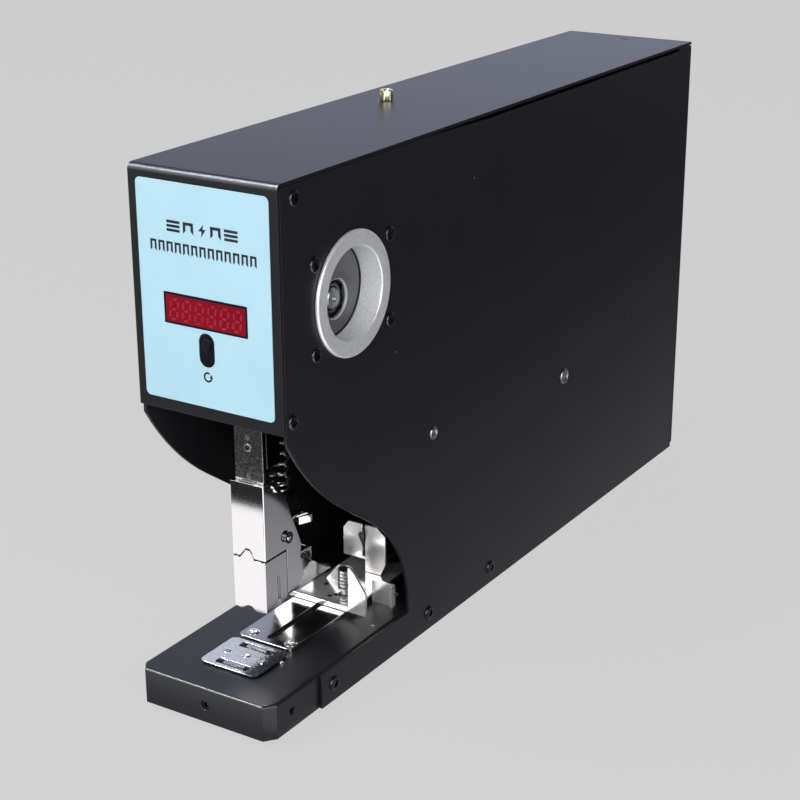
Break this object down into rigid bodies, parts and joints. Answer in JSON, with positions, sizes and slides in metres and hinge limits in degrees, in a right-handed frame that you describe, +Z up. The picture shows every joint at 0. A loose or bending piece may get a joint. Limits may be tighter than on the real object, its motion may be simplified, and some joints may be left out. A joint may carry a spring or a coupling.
{
  "type": "electric stapler",
  "caption": "Bench electric stapler with a C-shaped paper throat, cam-driven stapling head, anvil, sliding back gauge and stroke counter.",
  "frame": {"origin": "middle of the footprint's bounding rectangle, on the surface that the feet stand on", "axes": "+Z up, +X to the machine's right as seen from the front, -Y is the front where paper enters"},
  "size_m": [0.0836, 0.4312, 0.2645],
  "materials": {
    "powder_black": "satin black powder coat",
    "base_black": "satin black enamel on a steel block",
    "label_film": "pale blue printed film",
    "display_red": "dark red filter with dim digits",
    "plastic_black": "moulded black plastic",
    "button_black": "moulded black plastic",
    "nickel_plate": "bright nickel plate on pressed steel",
    "polished_steel": "polished spring steel",
    "machined_steel": "turned and ground steel",
    "black_oxide_steel": "black oxide steel",
    "cast_aluminium": "turned aluminium, satin",
    "brass": "turned brass",
    "rubber_foot": "moulded rubber",
    "circuit_board": "green solder mask",
    "transformer_winding": "varnished winding and core"
  },
  "bodies": {
    "chassis": {"right_side_plate": "powder_black", "left_side_plate": "powder_black", "front_top_cover": "powder_black", "back_panel": "powder_black", "base_block": "base_black", "rear_floor_plate": "powder_black", "front_foot": "rubber_foot", "rear_foot": "rubber_foot", "main_tie_rod": "machined_steel", "front_tie_rod": "machined_steel", "brass_post": "brass", "label_panel": "label_film", "display_window": "display_red", "display_module": "plastic_black", "front_circuit_board": "circuit_board", "reset_bezel": "plastic_black", "shaft_access_cup": "cast_aluminium", "gear_motor": "black_oxide_steel", "motor_bracket": "machined_steel", "right_bearing": "machined_steel", "left_bearing": "machined_steel", "ram_guide_right": "black_oxide_steel", "ram_guide_left": "black_oxide_steel", "anvil_plate": "nickel_plate", "gauge_rail": "nickel_plate", "throat_bracket_right": "nickel_plate", "throat_bracket_left": "nickel_plate", "control_board": "circuit_board", "power_transformer": "transformer_winding", "run_capacitor": "cast_aluminium", "power_inlet": "plastic_black", "power_switch_frame": "plastic_black", "fuse_holder": "plastic_black", "pedal_socket": "machined_steel"},
    "cam_drive": {"cam_shaft": "machined_steel", "shaft_nut": "black_oxide_steel", "drive_cam": "machined_steel", "drive_gear": "machined_steel"},
    "pinion": {"motor_pinion": "brass"},
    "ram": {"ram_block": "black_oxide_steel", "ram_strip": "polished_steel", "driver_blade": "polished_steel", "ram_spring": "polished_steel"},
    "roller": {"cam_roller": "machined_steel"},
    "head": {"head_upper_cover": "nickel_plate", "head_lower_cover": "nickel_plate", "head_block": "black_oxide_steel", "head_pin": "polished_steel", "magazine": "nickel_plate", "staple_strip": "polished_steel"},
    "pusher": {"staple_pusher": "black_oxide_steel", "pusher_spring": "polished_steel"},
    "latch": {"magazine_latch": "nickel_plate"},
    "gauge": {"gauge_carriage": "nickel_plate", "gauge_back_stop": "nickel_plate", "trigger_switch": "plastic_black"},
    "gauge_lock": {"gauge_lock_screw": "polished_steel"},
    "trigger": {"paper_trigger": "polished_steel"},
    "reset_key": {"reset_button": "button_black"},
    "mains_rocker": {"power_switch_rocker": "plastic_black"}
  },
  "joints": [
    {"name": "cam_shaft_turn", "type": "hinge", "parent": "chassis", "child": "cam_drive", "pos_m": [0, -0.145, 0.1937], "axis": [1, 0, 0], "range_deg": [0, 180]},
    {"name": "motor_pinion_turn", "type": "hinge", "parent": "chassis", "child": "pinion", "pos_m": [0, -0.09187, 0.1937], "axis": [1, 0, 0], "range_deg": [-721, 0]},
    {"name": "ram_slide", "type": "slide", "parent": "chassis", "child": "ram", "axis": [0, 0, 1], "range_m": [-0.0301, 0], "deforming": ["ram_spring"]},
    {"name": "cam_roller_spin", "type": "hinge", "parent": "ram", "child": "roller", "pos_m": [0, -0.145, 0.17645], "axis": [1, 0, 0], "continuous": true},
    {"name": "head_slide", "type": "slide", "parent": "chassis", "child": "head", "axis": [0, 0, 1], "range_m": [-0.0211, 0]},
    {"name": "staple_pusher_slide", "type": "slide", "parent": "head", "child": "pusher", "axis": [0, 1, 0], "range_m": [0, 0.006], "stiffness_N_per_m": 300, "springref_m": -0.004, "deforming": ["pusher_spring"]},
    {"name": "magazine_latch_swing", "type": "hinge", "parent": "head", "child": "latch", "pos_m": [0.0067, -0.153, 0.082], "axis": [1, 0, 0], "range_deg": [0, 10], "stiffness_Nm_per_rad": 0.2, "springref_deg": -5.73},
    {"name": "gauge_slide", "type": "slide", "parent": "chassis", "child": "gauge", "axis": [0, 1, 0], "range_m": [0, 0.016]},
    {"name": "gauge_lock_turn", "type": "hinge", "parent": "gauge", "child": "gauge_lock", "pos_m": [0.0094, -0.112, 0.033], "axis": [0, 0, 1], "range_deg": [-180, 180]},
    {"name": "paper_trigger_swing", "type": "hinge", "parent": "gauge", "child": "trigger", "pos_m": [0, -0.0745, 0.033], "axis": [1, 0, 0], "range_deg": [-10, 0], "stiffness_Nm_per_rad": 0.05, "springref_deg": 11.46},
    {"name": "reset_button_press", "type": "slide", "parent": "chassis", "child": "reset_key", "axis": [0, 1, 0], "range_m": [0, 0.001], "stiffness_N_per_m": 400, "springref_m": -0.001},
    {"name": "mains_switch_rock", "type": "hinge", "parent": "chassis", "child": "mains_rocker", "pos_m": [0.0143, 0.211, 0.0435], "axis": [1, 0, 0], "range_deg": [-18, 0]}
  ],
  "couplings": [
    {"joint": "motor_pinion_turn", "follows": "cam_shaft_turn", "ratio": -4},
    {"joint": "ram_slide", "follows": "cam_shaft_turn", "m_per_rad": -0.009549},
    {"joint": "head_slide", "follows": "cam_shaft_turn", "m_per_rad": -0.006684}
  ]
}
